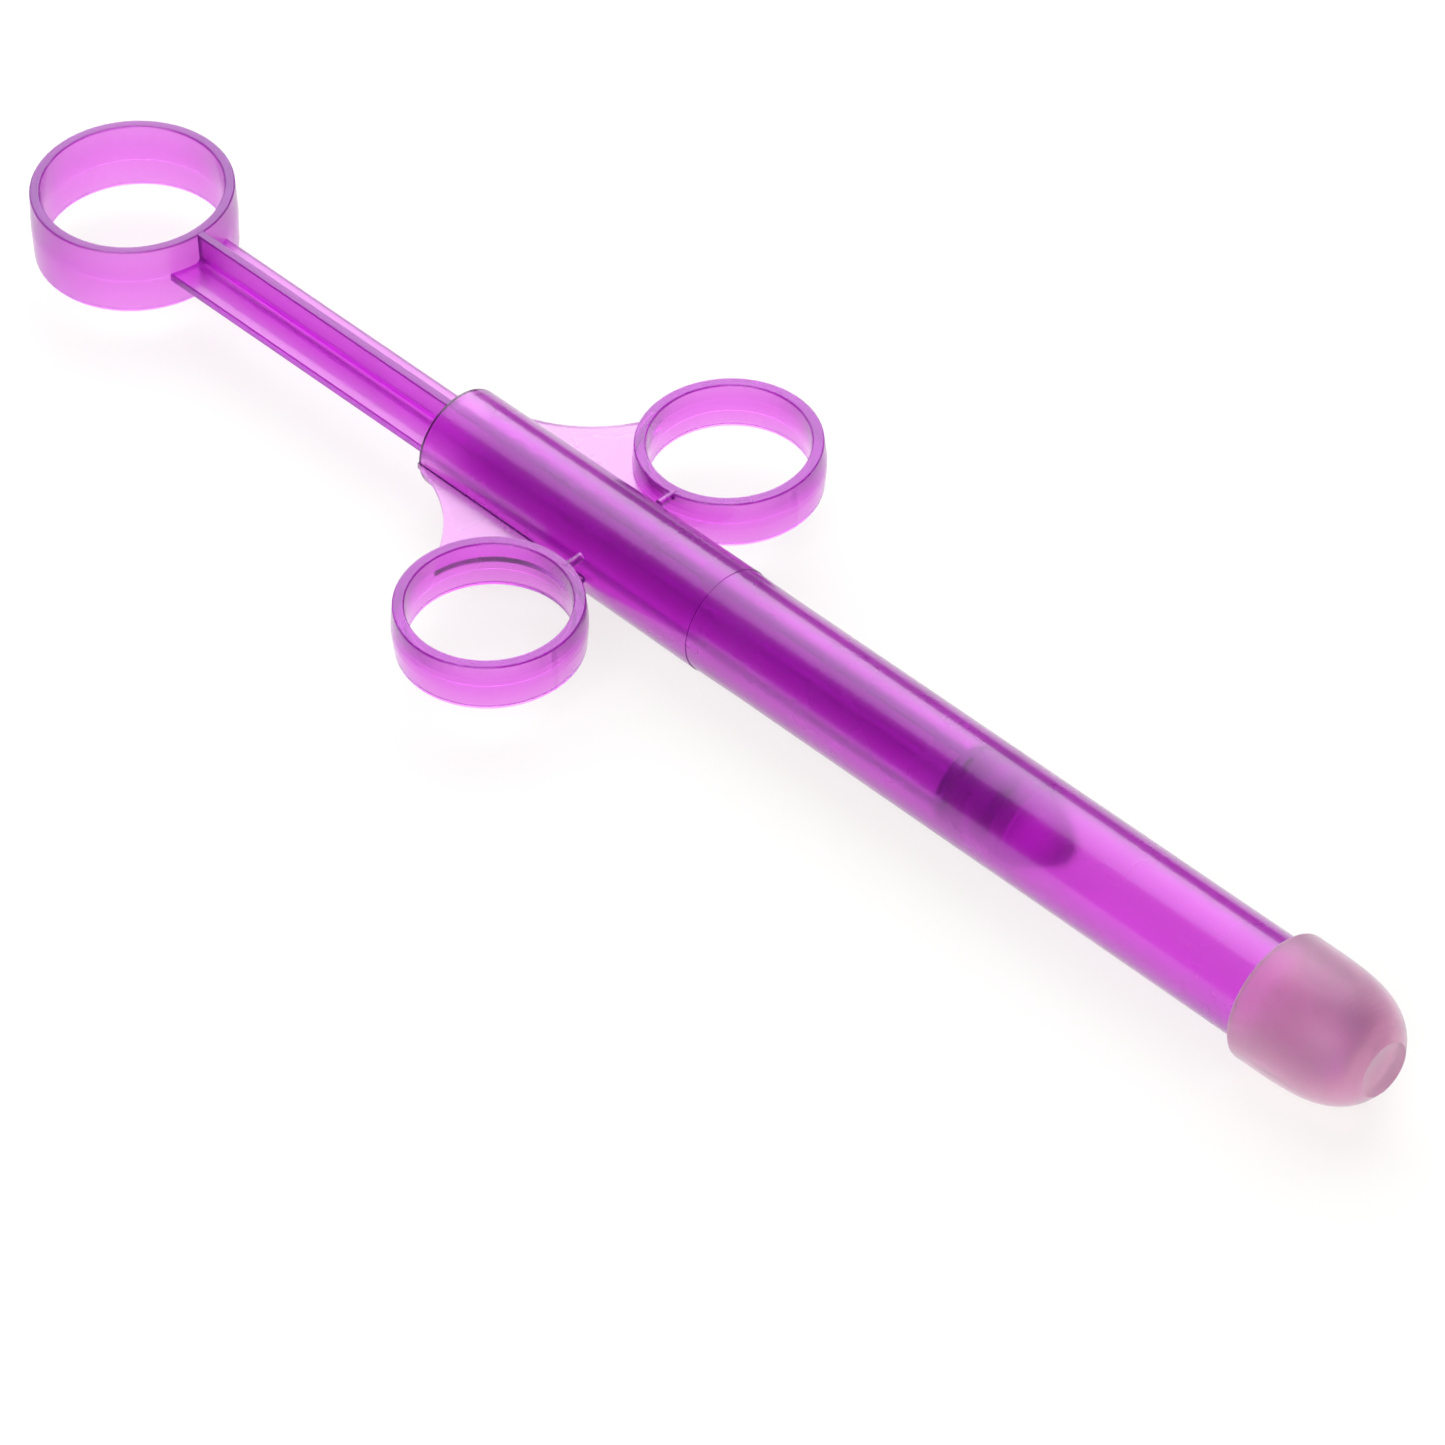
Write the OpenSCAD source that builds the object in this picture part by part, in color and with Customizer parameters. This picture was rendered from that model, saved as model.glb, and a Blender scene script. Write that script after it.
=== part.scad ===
// Three-ring oral syringe, lying flat: barrel with two finger rings, ring-handled plunger,
// elastomer stopper and soft tip cap. Millimetres. +X runs along the barrel towards the tip,
// +Z is up, and the plane of the rings is horizontal. The origin is under the middle of the
// whole syringe, on the surface it lies on.

/* [Barrel] */
// Outside diameter of the front tube
tube_d = 15.2; // [14.4:0.1:15.6]
// Diameter of the bore that the stopper runs in
bore_d = 12.1; // [12:0.1:12.6]
// Outside diameter at the thickest point of the grip, where its mould halves close
grip_d = 15.6; // [15.4:0.1:16.2]
// Distance from the finger rings' centres back to the open mouth
mouth_back = 30; // [28:0.5:36]
// Distance from the finger rings' centres forward to the mould line round the tube
seam_front = 22.4; // [18:0.2:28]
// Distance from the finger rings' centres forward to the end of the nose
nose_front = 138; // [120:1:160]

/* [Finger rings] */
// Distance between the centres of the two finger rings
ring_pitch = 44.8; // [44.4:0.1:46]
// Outside diameter of a finger ring at its rims
ring_od = 26; // [25:0.2:26.4]
// Smallest diameter of the hole in a finger ring, at half height
ring_bore = 22.1; // [20:0.1:22.3]
// Height of a finger ring
ring_h = 7.6; // [6:0.2:9]
// How much a finger ring's wall leans in from its mould line to each rim
ring_draft = 0.28; // [0.1:0.02:0.4]
// Thickness of the web between ring and barrel
web_t = 0.9; // [0.5:0.1:1.2]

/* [Plunger] */
// Distance from the finger rings' centres back to the thumb ring's centre
thumb_back = 96.6; // [90:0.2:104]
// Outside diameter of the thumb ring at its rims
thumb_od = 28.9; // [28:0.1:30]
// Smallest diameter of the hole in the thumb ring, at half height
thumb_bore = 25.6; // [24:0.1:25.8]
// Height of the thumb ring
thumb_h = 10.8; // [10.8:0.2:12]
// Width over the ribs of the cross-shaped rod
rib_w = 10.7; // [9:0.1:10.8]
// Thickness of each rib
rib_t = 1.4; // [1:0.1:2]

/* [Stopper] */
// Distance from the finger rings' centres forward to the stopper's nose
stopper_front = 86; // [60:1:100]
// Radial clearance between a sealing rib and the bore
seal_gap = 0.05; // [0.02:0.01:0.1]

/* [Tip cap] */
// Outside diameter of the cap at its rim
cap_d = 18.7; // [18:0.1:20]
// Length of the cap
cap_len = 18.7; // [18.4:0.1:20]
// Width of the shallow dimple in the cap's end
dimple_d = 7.4; // [6:0.2:7.6]

/* [Hidden] */
$fn = 96;

violet = [0.66, 0.28, 0.74, 0.75];
deep_violet = [0.42, 0.10, 0.50, 0.9];
frosted_pink = [0.84, 0.70, 0.80, 0.85];

tube_r = tube_d / 2;
bore_r = bore_d / 2;
grip_r = grip_d / 2;

// Small radius that breaks every moulded edge, and the steps of each such quarter round
edge_r = 0.3;
edge_steps = 4;
// Steps of the inner and outer nose curves, and of the cap's outside
nose_steps = 14;
cap_steps = 26;
// Lead-in on the elastomer's and the inner edges that need one
small_chamfer = 0.3;

// Where things stand along the barrel, measured from the finger rings' centres
mouth_x = -mouth_back;
thumb_x = -thumb_back;
shoulder_len = 8;
nose_len = 11;
cap_cover = 15.2;
shoulder_x = seam_front + shoulder_len;
nose_start_x = nose_front - nose_len;
cap_rim_x = nose_front - cap_cover;
cap_tip_x = cap_rim_x + cap_len;
thumb_draft = 0.15;
ring_land = 1;
hole_step = 0.1;
ring_steps = 128;
thumb_mid_r = thumb_od / 2 + thumb_draft;

// The whole syringe is centred on the origin and stands on it by its widest part, the cap
mid_x = (cap_tip_x + thumb_x - thumb_mid_r) / 2;
axis_z = cap_d / 2;

// Nose and outlet
outlet_r = 1.5;
nose_tip_r = 2.6;
nose_curve = 2.3;
cone_slope = 0.614;
cone_lead = 1.5;
cone_start_x = nose_start_x - cone_lead;
cone_end_x = cone_start_x + (bore_r - outlet_r) / cone_slope;
mouth_chamfer = 0.5;
mouth_flare = 0.3;
seam_step = 0.1;
seam_run = 0.02;

// Round gate pip on each finger ring's wall, which stops just short of the grip
pip_r = 0.6;
pip_x = 2;
pip_z = 3.3;
pip_gap = 0.2;
// How far the pip and the web reach into the ring's wall
wall_bite = 0.9;
join_y = grip_r - 0.7;
ring_y = ring_pitch / 2;
web_end_y = ring_y - ring_bore / 2 - wall_bite;

// Concave rear edge of the web, as a circle that the web stops at
scoop_x = -33.8;
scoop_y = 29.8;
scoop_r = 22.3;

// Corners of the web, seen from above, before the circles are cut from it
web_rear_x = mouth_x + 0.2;
web_rear_y = 12;
web_ring_rear_x = -16;
web_ring_front_x = -11;
web_side_x = -8;
web_side_y = 14;
web_front_x = 3;

// Stopper, measured back from its nose
stopper_nose_len = 6;
nose_face_r = 2.2;
body_r = bore_r - 0.45;
seal_half_l = 1.2;
seal_shoulder_l = 0.7;
seal_land_l = 0.45;
seal_drop = 0.1;
front_rib_back = 7.7;
rear_rib_back = 14.9;
stopper_len = 17;
socket_gap = 0.06;
neck_r = 2.6;
button_r = 3.9;
button_back = 9.4;
button_len = 3.4;
button_land = 1.4;
button_taper = 0.6;

// Rod
rod_bite = 0.4;
root_r = 0.8;
root_steps = 5;
rib_chamfer = 0.18;
pusher_r = bore_r - 0.55;
pusher_t = 1.6;
end_gap = 0.3;
pusher_x = stopper_front - stopper_len - end_gap - pusher_t;

// Cap: its clearances on the tube and nose, and how far past its end the dome would reach
cap_wall_gap = 0.05;
cap_dome_gap = 0.45;
dome_cut = 0.9;
dome_power = 4;
dimple_depth = 0.4;
dimple_lip = 0.36;
lip_from = 40;
lip_to = 105;
bowl_steps = 8;
lip_chamfer = 0.2;

function arc(cx, cy, r, from, to, steps) =
    [for (i = [0:steps]) [cx + r * cos(from + (to - from) * i / steps),
                          cy + r * sin(from + (to - from) * i / steps)]];

// A blunt dome from radius r0 at x0 to radius r1 at x1: 1 - u^n under a square root
function dome(x0, x1, r0, r1, n, steps) =
    [for (i = [0:steps]) let (u = sin(90 * i / steps))
        [r1 + (r0 - r1) * sqrt(max(0, 1 - pow(u, n))), x0 + (x1 - x0) * u]];

function reversed(list) = [for (i = [len(list) - 1:-1:0]) list[i]];

module placed() {
    translate([-mid_x, 0, axis_z]) children();
}

// Turns a profile of [radius, distance along the barrel] points about the barrel's axis
module turned(profile) {
    rotate([0, 90, 0]) rotate_extrude() polygon(profile);
}

// One half of a ring's wall, from its outer mould line over the rim to the hole
function half_wall(outer_r, rim_r, rim_hole_r, hole_r, half) = let (e = edge_r) concat(
    [[outer_r, ring_land / 2]],
    arc(rim_r - e, half - e, e, 0, 90, edge_steps),
    arc(rim_hole_r + e, half - e, e, 90, 180, edge_steps),
    [[hole_r, ring_land / 2]]);

// A ring whose walls lean both ways from a short straight land at half height. Below the
// land its hole is a little wider, because the lower mould half's core is the larger.
module drafted_ring(rim_r, hole_r, height, draft) {
    outer_r = rim_r + draft;
    rim_hole_r = hole_r + draft;
    upper = half_wall(outer_r, rim_r, rim_hole_r, hole_r, height / 2);
    lower = half_wall(outer_r, rim_r, rim_hole_r + hole_step / 2, hole_r + hole_step, height / 2);
    rotate_extrude($fn = ring_steps) polygon(concat(
        upper, [[hole_r, -ring_land / 2]], [for (p = reversed(lower)) [p[0], -p[1]]]));
}

// Outline of the web beside one ring, seen from above
module web_outline() {
    difference() {
        polygon([[web_rear_x, join_y], [web_rear_x, web_rear_y], [web_ring_rear_x, ring_y],
                 [web_ring_front_x, ring_y], [web_side_x, web_side_y], [0, web_end_y],
                 [web_front_x, web_end_y], [web_front_x, join_y]]);
        translate([scoop_x, scoop_y]) circle(r = scoop_r, $fn = ring_steps);
        translate([0, ring_y]) circle(r = ring_bore / 2 + wall_bite, $fn = ring_steps);
    }
}

module finger_ring() {
    translate([0, ring_y, 0]) drafted_ring(ring_od / 2, ring_bore / 2, ring_h, ring_draft);
    translate([0, 0, -web_t / 2]) linear_extrude(web_t) web_outline();
    pip_y = sqrt(grip_r * grip_r - pip_z * pip_z) + pip_gap;
    translate([pip_x, pip_y, pip_z])
        rotate([-90, 0, 0]) cylinder(r = pip_r, h = web_end_y - pip_y, $fn = 32);
}

// Wall of the whole tube: outside from mouth to nose, then inside back to the mouth
module tube_wall() {
    e = edge_r;
    outside = concat(
        arc(tube_r - e, mouth_x + e, e, -90, 0, edge_steps),
        [[grip_r, seam_front], [grip_r - seam_step, seam_front + seam_run], [tube_r, shoulder_x]],
        dome(nose_start_x, nose_front - e, tube_r, nose_tip_r, nose_curve, nose_steps),
        [[nose_tip_r - e, nose_front]]);
    inside = [[outlet_r, nose_front], [outlet_r, cone_end_x], [bore_r, cone_start_x],
              [bore_r, mouth_x + mouth_chamfer], [bore_r + mouth_flare, mouth_x]];
    turned(concat(outside, inside));
}

module barrel() color(violet) placed() {
    union() {
        tube_wall();
        finger_ring();
        mirror([0, 1, 0]) finger_ring();
    }
}

// Cross section of the rod: four ribs with chamfered edges and rounded roots
function rib_quarter() =
    let (h = rib_w / 2, t = rib_t / 2, c = rib_chamfer)
    concat([[h, t - c], [h - c, t]],
           arc(t + root_r, t + root_r, root_r, 270, 180, root_steps),
           [[t, h - c], [t - c, h]]);

function turn(p, a) = [p[0] * cos(a) - p[1] * sin(a), p[0] * sin(a) + p[1] * cos(a)];

module rod_section() {
    polygon([for (a = [0, 90, 180, 270]) for (p = rib_quarter()) turn(p, a)]);
}

// Pusher disc, neck and the button that the stopper snaps over
module rod_head() {
    button_x = stopper_front - button_back - button_len;
    e = edge_r;
    turned(concat(
        [[0, pusher_x]],
        arc(pusher_r - e, pusher_x + e, e, -90, 0, edge_steps),
        arc(pusher_r - e, pusher_x + pusher_t - e, e, 0, 90, edge_steps),
        [[neck_r, pusher_x + pusher_t], [neck_r, button_x], [button_r, button_x],
         [button_r, button_x + button_land], [neck_r - button_taper, button_x + button_len],
         [0, button_x + button_len]]));
}

module plunger_rod() color(violet) placed() {
    // The ribs start inside the wall of the thumb ring and end inside the pusher disc
    rod_start = thumb_x + thumb_bore / 2 + rod_bite;
    union() {
        translate([thumb_x, 0, 0]) drafted_ring(thumb_od / 2, thumb_bore / 2, thumb_h, thumb_draft);
        translate([rod_start, 0, 0]) rotate([90, 0, 90])
            linear_extrude(pusher_x + rod_bite - rod_start) rod_section();
        rod_head();
    }
}

// One sealing rib's outline, a flat-topped swelling of the body from back to front
function seal_rib(back) = let (x = stopper_front - back, r = bore_r - seal_gap)
    [[body_r, x + seal_half_l], [r - seal_drop, x + seal_shoulder_l], [r, x + seal_land_l],
     [r, x - seal_land_l], [r - seal_drop, x - seal_shoulder_l], [body_r, x - seal_half_l]];

module piston_stopper() color(deep_violet) placed() {
    button_front = stopper_front - button_back;
    button_x = button_front - button_len;
    rear = stopper_front - stopper_len;
    g = socket_gap;
    c = small_chamfer;
    turned(concat(
        [[0, stopper_front], [nose_face_r - c, stopper_front], [nose_face_r, stopper_front - c],
         [body_r, stopper_front - stopper_nose_len]],
        seal_rib(front_rib_back),
        seal_rib(rear_rib_back),
        [[body_r, rear + c], [body_r - c, rear], [neck_r + g, rear],
         [neck_r + g, button_x - end_gap], [button_r + g, button_x - end_gap],
         [button_r + g, button_x + button_land + end_gap], [neck_r, button_front + end_gap],
         [0, button_front + end_gap]]));
}

module tip_cap() color(frosted_pink) placed() {
    r = cap_d / 2;
    in_r = tube_r + cap_wall_gap;
    l = edge_r;
    dimple_r = dimple_d / 2;
    inner_tip_x = nose_front + cap_dome_gap;
    lip = arc(dimple_r + l, cap_tip_x - l, l, lip_from, lip_to, edge_steps);
    bowl_edge = lip[edge_steps];
    shell = dome(cap_rim_x + l, cap_tip_x + dome_cut, r, 0, dome_power, cap_steps);
    outside = concat(
        [[in_r, cap_rim_x + lip_chamfer], [in_r + lip_chamfer, cap_rim_x]],
        arc(r - l, cap_rim_x + l, l, -90, 0, edge_steps),
        [for (p = shell) if (p[1] > cap_rim_x + l && p[0] > dimple_r + l + dimple_lip) p],
        lip,
        [for (i = [1:bowl_steps]) let (k = 1 - i / bowl_steps)
            [bowl_edge[0] * k, bowl_edge[1] - dimple_depth * (1 - k * k)]]);
    inner_dome = dome(nose_start_x + small_chamfer, inner_tip_x, in_r, nose_tip_r + cap_dome_gap,
                      nose_curve, nose_steps);
    turned(concat(outside, [[0, inner_tip_x]], reversed(inner_dome)));
}

barrel();
plunger_rod();
piston_stopper();
tip_cap();
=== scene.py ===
# %% [markdown]
# # A three-ring oral syringe in clear violet plastic
# The syringe lies flat on a pale table: a long clear barrel with two finger
# rings, a plunger with a thumb ring on a cross-ribbed rod, an elastomer stopper
# inside, and a frosted silicone cap over the nose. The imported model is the
# frame: every part is already in its place, in metres, and nothing moves it.

# %% Load the frame
import math

import bpy
import numpy as np
from mathutils import Matrix, Vector


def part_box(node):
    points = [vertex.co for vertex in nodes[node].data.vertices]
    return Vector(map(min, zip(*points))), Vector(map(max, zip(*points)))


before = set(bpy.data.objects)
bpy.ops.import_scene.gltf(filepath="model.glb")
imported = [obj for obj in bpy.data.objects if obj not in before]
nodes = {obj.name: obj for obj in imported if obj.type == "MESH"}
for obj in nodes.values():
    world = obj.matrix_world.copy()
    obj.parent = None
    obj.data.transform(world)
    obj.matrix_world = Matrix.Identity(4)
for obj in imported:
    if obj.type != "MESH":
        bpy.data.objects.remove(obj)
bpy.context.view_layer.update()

scene = bpy.context.scene
AXIS_Z = (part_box("piston_stopper")[0].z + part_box("piston_stopper")[1].z) / 2
print("parts:", sorted(nodes), "| axis height in mm:", round(AXIS_Z * 1000, 2))

# %% [markdown]
# ## The camera
# A long lens from far away keeps the rings' ellipses nearly parallel. The camera
# is placed by a target point, a distance and two angles, and then rolled a
# little, because a camera on a stand is seldom quite level.

# %% Camera
TARGET = Vector((0.020936, -0.014195, AXIS_Z))
DISTANCE = 1.207524
AZIMUTH, ELEVATION, ROLL = math.radians(46.789), math.radians(43.655), -0.02802
SENSOR_MM, FOCAL_MM = 36.0, 227.971
CLIP_NEAR, CLIP_FAR = 0.05, 20

back = Vector((
    math.sin(AZIMUTH) * math.cos(ELEVATION),
    -math.cos(AZIMUTH) * math.cos(ELEVATION),
    math.sin(ELEVATION),
))
camera = bpy.data.objects.new("camera", bpy.data.cameras.new("camera"))
camera.data.sensor_width, camera.data.lens = SENSOR_MM, FOCAL_MM
camera.data.clip_start, camera.data.clip_end = CLIP_NEAR, CLIP_FAR
camera.data.dof.use_dof = False
turn = (-back).to_track_quat("-Z", "Y").to_matrix() @ Matrix.Rotation(ROLL, 3, "Z")
camera.matrix_world = Matrix.Translation(TARGET + back * DISTANCE) @ turn.to_4x4()
scene.collection.objects.link(camera)
scene.camera = camera
print("lens in mm:", FOCAL_MM, "| camera at", [round(c, 3) for c in camera.location])

# %% [markdown]
# ## Helpers
# Three small functions serve every step below: one makes a mesh from arrays, one
# makes a material, and one puts a material on a part.

# %% Helpers for meshes and materials
def mesh_object(name, points, faces):
    """A mesh object at the origin from an array of points and a list of faces."""
    mesh = bpy.data.meshes.new(name)
    mesh.from_pydata(points.tolist(), [], faces)
    mesh.update()
    made = bpy.data.objects.new(name, mesh)
    scene.collection.objects.link(made)
    return made


def empty_material(name):
    """A new material, its node tree and the Principled shader wired to its output."""
    material = bpy.data.materials.new(name)
    material.use_nodes = True
    tree = material.node_tree
    return material, tree, tree.nodes["Principled BSDF"]


def paint(obj, material):
    """Puts one material in every slot of the object, as a part may come with its own."""
    if not obj.data.materials:
        obj.data.materials.append(material)
    for slot in obj.material_slots:
        slot.material = material


print("helpers:", mesh_object.__name__, empty_material.__name__, paint.__name__)

# %% [markdown]
# ## The table
# The table is white opal glass, lit from inside as well as from above. It lights
# the clear parts from below, which is what makes their colour glow, and its own
# light fills most of the shadows. The glow is the same from every side.

# %% Table
TABLE_HALF = 4.0
TABLE_WHITE, TABLE_ROUGH, TABLE_GLOSS = (0.27, 0.27, 0.27, 1), 0.6, 0.1
GLOW_COLOR, GLOW = (1.0, 0.985, 0.955, 1), 0.77

corners = TABLE_HALF * np.array([(-1, -1, 0), (1, -1, 0), (1, 1, 0), (-1, 1, 0)])
table = mesh_object("table", corners, [(0, 1, 2, 3)])
table_paint, _, shader = empty_material("opal_table")
shader.inputs["Base Color"].default_value = TABLE_WHITE
shader.inputs["Roughness"].default_value = TABLE_ROUGH
shader.inputs["Specular IOR Level"].default_value = TABLE_GLOSS
shader.inputs["Emission Color"].default_value = GLOW_COLOR
shader.inputs["Emission Strength"].default_value = GLOW
paint(table, table_paint)
print("table:", 2 * TABLE_HALF, "m wide, glow", GLOW)

# %% [markdown]
# ## Lamps
# Clear plastic shows what is round it. One big softbox hangs over and behind the
# syringe: its reflection is the long pale stripe on the barrel, and the dark gap
# between it and the table is the thin dark band above that stripe. It is brighter
# towards its lower edge, which gives the stripe one crisp side and one soft one.
# A second panel on the camera's side fills in the near walls of the rings.

# %% Softbox, fill and room
KEY_DIR = Vector((-0.527, 0.373, 0.764)).normalized()
KEY_DISTANCE, KEY_LENGTH, KEY_SPAN, KEY_RADIANCE = 0.95, 1.5, 1.22, 2.5
KEY_FROM, KEY_TO = 0.55, 1.45
FILL_DIR = Vector((0.35, -0.72, 0.60)).normalized()
FILL_DISTANCE, FILL_SIDE, FILL_RADIANCE = 1.35, 1.3, 2.7
LAMP_COLOR, ROOM_COLOR = (0.95, 0.96, 1.0), (0.04, 0.04, 0.04, 1)


def facing(place, aim, long_axis):
    """A matrix at place whose -Z looks at aim and whose X lies nearest to long_axis."""
    z = (place - aim).normalized()
    y = z.cross(long_axis).normalized()
    return Matrix.Translation(place) @ Matrix((y.cross(z), y, z)).transposed().to_4x4()


def softbox(name, direction, distance, length, span, radiance):
    """A rectangular area light of a given radiance, with its length along the barrel."""
    lamp = bpy.data.objects.new(name, bpy.data.lights.new(name, "AREA"))
    lamp.data.shape, lamp.data.size, lamp.data.size_y = "RECTANGLE", length, span
    lamp.data.energy = radiance * math.pi * length * span
    lamp.data.color = LAMP_COLOR
    lamp.matrix_world = facing(TARGET + direction * distance, TARGET, Vector((1, 0, 0)))
    scene.collection.objects.link(lamp)
    return lamp


def fade(lamp, near, far):
    """Makes the lamp's brightness run from near to far across its span, in a straight line."""
    lamp.data.use_nodes = True
    tree = lamp.data.node_tree
    place = tree.nodes.new("ShaderNodeNewGeometry")
    parts = tree.nodes.new("ShaderNodeSeparateXYZ")
    level = tree.nodes.new("ShaderNodeMapRange")
    level.inputs["To Min"].default_value, level.inputs["To Max"].default_value = near, far
    tree.links.new(place.outputs["Parametric"], parts.inputs["Vector"])
    tree.links.new(parts.outputs["Y"], level.inputs["Value"])
    tree.links.new(level.outputs["Result"], tree.nodes["Emission"].inputs["Strength"])


key = softbox("softbox", KEY_DIR, KEY_DISTANCE, KEY_LENGTH, KEY_SPAN, KEY_RADIANCE)
fade(key, KEY_FROM, KEY_TO)
fill = softbox("fill", FILL_DIR, FILL_DISTANCE, FILL_SIDE, FILL_SIDE, FILL_RADIANCE)
world = bpy.data.worlds.new("room")
scene.world = world
world.use_nodes = True
world.node_tree.nodes["Background"].inputs["Color"].default_value = ROOM_COLOR
scene.view_settings.view_transform = "Standard"
print("softbox:", round(key.data.energy, 1), "W | fill:", round(fill.data.energy, 1), "W")

# %% [markdown]
# ## The marks of moulding
# No moulded surface is perfect. One shared group of nodes makes faint ripples
# where the melt flowed, a fine skin, and soft patches that are a little hazier
# than the rest. Every material below uses it, each with its own scale.

# %% Shared effect: moulding marks
FLOW_STRETCH = (0.25, 1, 1)
RIPPLE_DETAIL, SKIN_DETAIL, PATCH_DETAIL = 1, 2, 4
PATCH_FROM, PATCH_TO = 0.45, 0.7


def moulding_marks():
    """Group: Height is ripples plus skin, and Haze goes from 0 to 1 in soft patches."""
    group = bpy.data.node_groups.new("moulding_marks", "ShaderNodeTree")
    for name, way in (
        ("Ripple Scale", "INPUT"),
        ("Skin Scale", "INPUT"),
        ("Skin Share", "INPUT"),
        ("Height", "OUTPUT"),
        ("Haze", "OUTPUT"),
    ):
        group.interface.new_socket(name=name, socket_type="NodeSocketFloat", in_out=way)
    make, wire = group.nodes.new, group.links.new
    given, out = make("NodeGroupInput"), make("NodeGroupOutput")
    where = make("ShaderNodeTexCoord")
    stretch = make("ShaderNodeMapping")
    stretch.inputs["Scale"].default_value = FLOW_STRETCH
    wire(where.outputs["Object"], stretch.inputs["Vector"])

    def noise(scale_socket, detail, vector):
        """One noise texture whose scale comes from a group input."""
        node = make("ShaderNodeTexNoise")
        node.inputs["Detail"].default_value = detail
        wire(given.outputs[scale_socket], node.inputs["Scale"])
        wire(vector, node.inputs["Vector"])
        return node.outputs["Fac"]

    blend = make("ShaderNodeMix")
    wire(given.outputs["Skin Share"], blend.inputs["Factor"])
    wire(noise("Ripple Scale", RIPPLE_DETAIL, stretch.outputs["Vector"]), blend.inputs["A"])
    wire(noise("Skin Scale", SKIN_DETAIL, where.outputs["Object"]), blend.inputs["B"])
    wire(blend.outputs["Result"], out.inputs["Height"])
    patch = make("ShaderNodeMapRange")
    patch.inputs["From Min"].default_value = PATCH_FROM
    patch.inputs["From Max"].default_value = PATCH_TO
    wire(noise("Ripple Scale", PATCH_DETAIL, where.outputs["Object"]), patch.inputs["Value"])
    wire(patch.outputs["Result"], out.inputs["Haze"])
    return group


MARKS = moulding_marks()


def add_marks(tree, shader, ripple, skin, share, depth, rough):
    """Wires the marks into a material: height to its bump, haze to its range of roughness.

    Ripple and skin are the scales of the two patterns, and share is how much of the
    height is skin. Depth is the height in metres. Rough is two roughnesses: where there
    is no haze, and where the haze is full.
    """
    marks = tree.nodes.new("ShaderNodeGroup")
    marks.node_tree = MARKS
    for name, value in (("Ripple Scale", ripple), ("Skin Scale", skin), ("Skin Share", share)):
        marks.inputs[name].default_value = value
    bump = tree.nodes.new("ShaderNodeBump")
    bump.inputs["Distance"].default_value = depth
    bump.inputs["Strength"].default_value = 1.0
    tree.links.new(marks.outputs["Height"], bump.inputs["Height"])
    tree.links.new(bump.outputs["Normal"], shader.inputs["Normal"])
    spread = tree.nodes.new("ShaderNodeMapRange")
    spread.inputs["To Min"].default_value, spread.inputs["To Max"].default_value = rough
    tree.links.new(marks.outputs["Haze"], spread.inputs["Value"])
    tree.links.new(spread.outputs["Result"], shader.inputs["Roughness"])


print("group:", MARKS.name, [item.name for item in MARKS.interface.items_tree])

# %% [markdown]
# ## Clear violet plastic
# The barrel and the plunger are moulded in one clear violet plastic. Its colour
# isn't on its surface but in its depth: a thin web is nearly white, a ring wall
# is orchid, and two walls with a rod between them are a deep purple. So the
# surface is plain clear plastic, and an absorption volume does the colouring.
# Light that goes through is blurred a little, while a smooth glossy coat keeps
# the reflections sharp.

# %% Violet plastic for the barrel and the plunger
ABSORB_COLOR = (0.905, 0.0, 0.93, 1)
ABSORB_DENSITY = 745.0
SKIN_TINT, PLASTIC_IOR = (1, 0.985, 1, 1), 1.5
COAT, COAT_ROUGH = 0.5, 0.03
PLASTIC_MARKS = {"ripple": 60, "skin": 1800, "share": 0.08, "depth": 0.00001}
BARREL_HAZE, PLUNGER_HAZE, HAZE_SPREAD = 0.25, 0.34, 0.08
PLUNGER_DENSER = 1.1


def absorbing(tree, color, density):
    """Gives the material a volume that colours light by how far it travels inside."""
    volume = tree.nodes.new("ShaderNodeVolumeAbsorption")
    volume.inputs["Color"].default_value = color
    volume.inputs["Density"].default_value = density
    tree.links.new(volume.outputs["Volume"], tree.nodes["Material Output"].inputs["Volume"])


def violet_plastic(name, density, haze):
    """Clear glossy plastic whose violet comes from its depth."""
    material, tree, shader = empty_material(name)
    shader.inputs["Base Color"].default_value = SKIN_TINT
    shader.inputs["Transmission Weight"].default_value = 1.0
    shader.inputs["IOR"].default_value = PLASTIC_IOR
    shader.inputs["Specular IOR Level"].default_value = 0.0
    shader.inputs["Coat Weight"].default_value = COAT
    shader.inputs["Coat Roughness"].default_value = COAT_ROUGH
    add_marks(tree, shader, rough=(haze, haze + HAZE_SPREAD), **PLASTIC_MARKS)
    absorbing(tree, ABSORB_COLOR, density)
    return material


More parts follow.
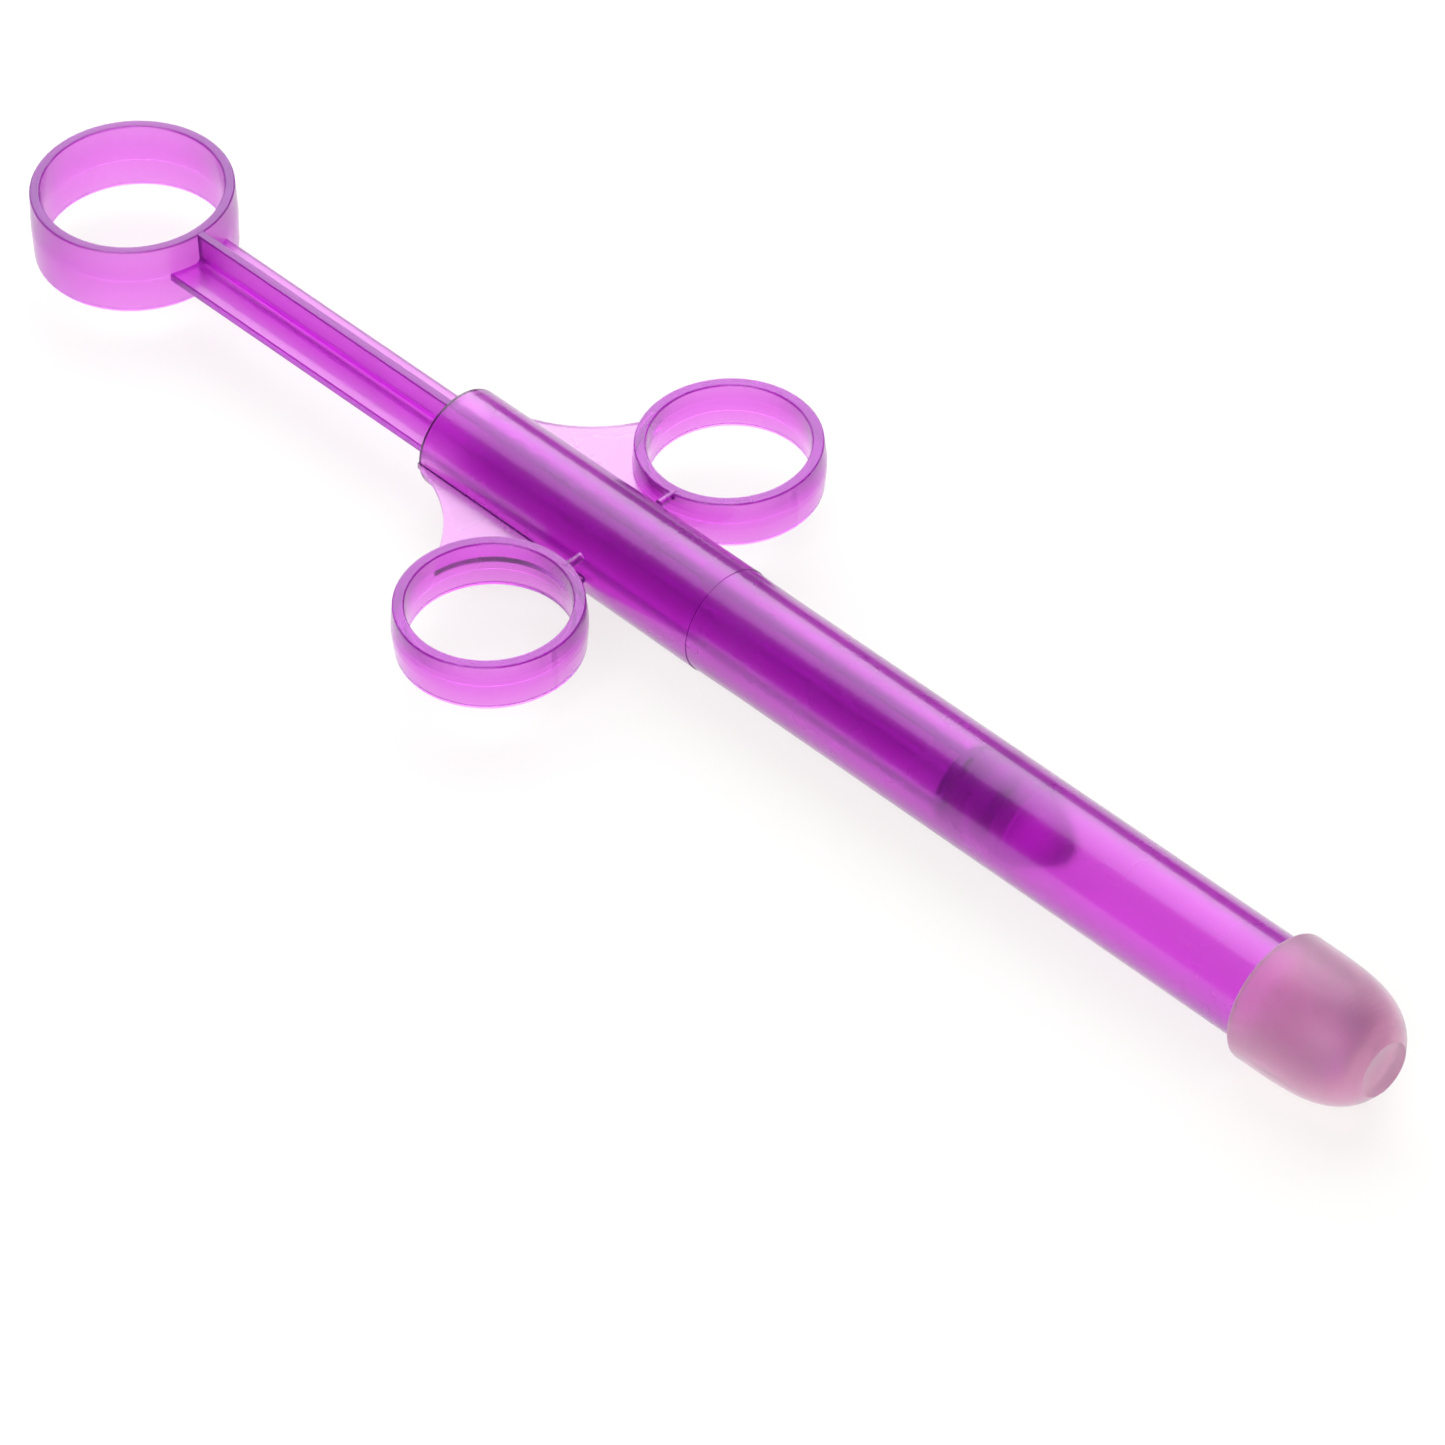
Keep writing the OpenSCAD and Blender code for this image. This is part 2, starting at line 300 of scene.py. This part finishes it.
paint(nodes["barrel"], violet_plastic("clear_violet_barrel", ABSORB_DENSITY, BARREL_HAZE))
paint(
    nodes["plunger_rod"],
    violet_plastic("clear_violet_plunger", ABSORB_DENSITY * PLUNGER_DENSER, PLUNGER_HAZE),
)
print("violet plastic on barrel and plunger_rod, density", ABSORB_DENSITY)

# %% [markdown]
# ## Elastomer stopper
# The stopper is a soft moulding in the same violet, but it is solid right
# through, so it is nearly as dark as the rod behind it. Its two sealing ribs show
# through the barrel as two darker bands.

# %% Stopper
STOPPER_DENSITY, STOPPER_IOR = 210.0, 1.3
STOPPER_MARKS = {"ripple": 150, "skin": 2500, "share": 0.3, "depth": 0.00003}
STOPPER_ROUGH = (0.6, 0.8)

stopper_paint, tree, shader = empty_material("stopper_elastomer")
shader.inputs["Base Color"].default_value = SKIN_TINT
shader.inputs["Transmission Weight"].default_value = 1.0
shader.inputs["IOR"].default_value = STOPPER_IOR
shader.inputs["Specular IOR Level"].default_value = 0.0
add_marks(tree, shader, rough=STOPPER_ROUGH, **STOPPER_MARKS)
absorbing(tree, ABSORB_COLOR, STOPPER_DENSITY)
paint(nodes["piston_stopper"], stopper_paint)
print("stopper density:", STOPPER_DENSITY)

# %% [markdown]
# ## Frosted silicone cap
# The cap is thick soft silicone with a ground surface. Light scatters in it, so
# the barrel's nose shows only as a darker violet cloud, and its edges are pale.

# %% Cap
CAP_MARKS = {"ripple": 120, "skin": 3000, "share": 0.5, "depth": 0.00002}
CAP_ROUGH = (0.4, 0.5)
SILICONE = {
    "Base Color": (0.98, 0.50, 0.74, 1),
    "IOR": 1.36,
    "Transmission Weight": 0.76,
    "Subsurface Weight": 1.0,
    "Subsurface Radius": (1.0, 0.8, 0.9),
    "Subsurface Scale": 0.003,
    "Sheen Weight": 0.8,
    "Sheen Roughness": 0.4,
    "Sheen Tint": (1, 0.96, 0.98, 1),
    "Coat Weight": 0.6,
    "Coat Roughness": 0.5,
}

cap_paint, tree, shader = empty_material("frosted_silicone")
for socket, value in SILICONE.items():
    shader.inputs[socket].default_value = value
add_marks(tree, shader, rough=CAP_ROUGH, **CAP_MARKS)
paint(nodes["tip_cap"], cap_paint)
print("cap:", cap_paint.name)
